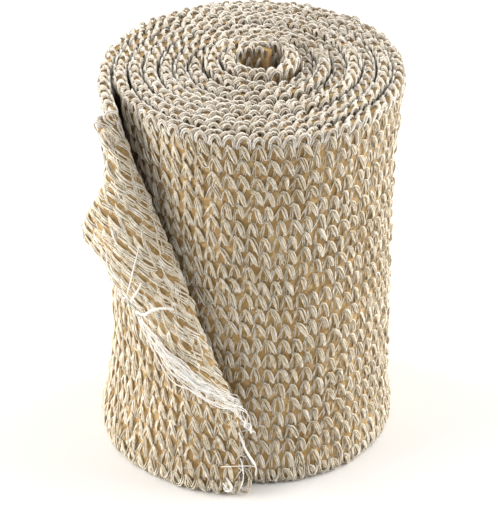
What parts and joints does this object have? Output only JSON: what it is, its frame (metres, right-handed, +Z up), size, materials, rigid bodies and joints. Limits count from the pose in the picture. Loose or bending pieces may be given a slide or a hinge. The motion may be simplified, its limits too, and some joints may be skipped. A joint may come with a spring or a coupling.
{
  "type": "cohesive bandage roll",
  "caption": "Knitted cohesive bandage wound into an upright roll with an open core, the top corner of its free end folded outwards and down.",
  "frame": {"origin": "middle of the box round the bandage, on the surface that the roll stands on", "axes": "+Z up along the roll's axis, -Y towards the side where the free end is cut, -X towards the folded corner"},
  "size_m": [0.0632, 0.0628, 0.0827],
  "materials": {
    "bandage_cloth": "undyed cream cotton yarn, coarse warp knit, matt"
  },
  "bodies": {
    "root": {"bandage": "bandage_cloth"}
  },
  "joints": []
}
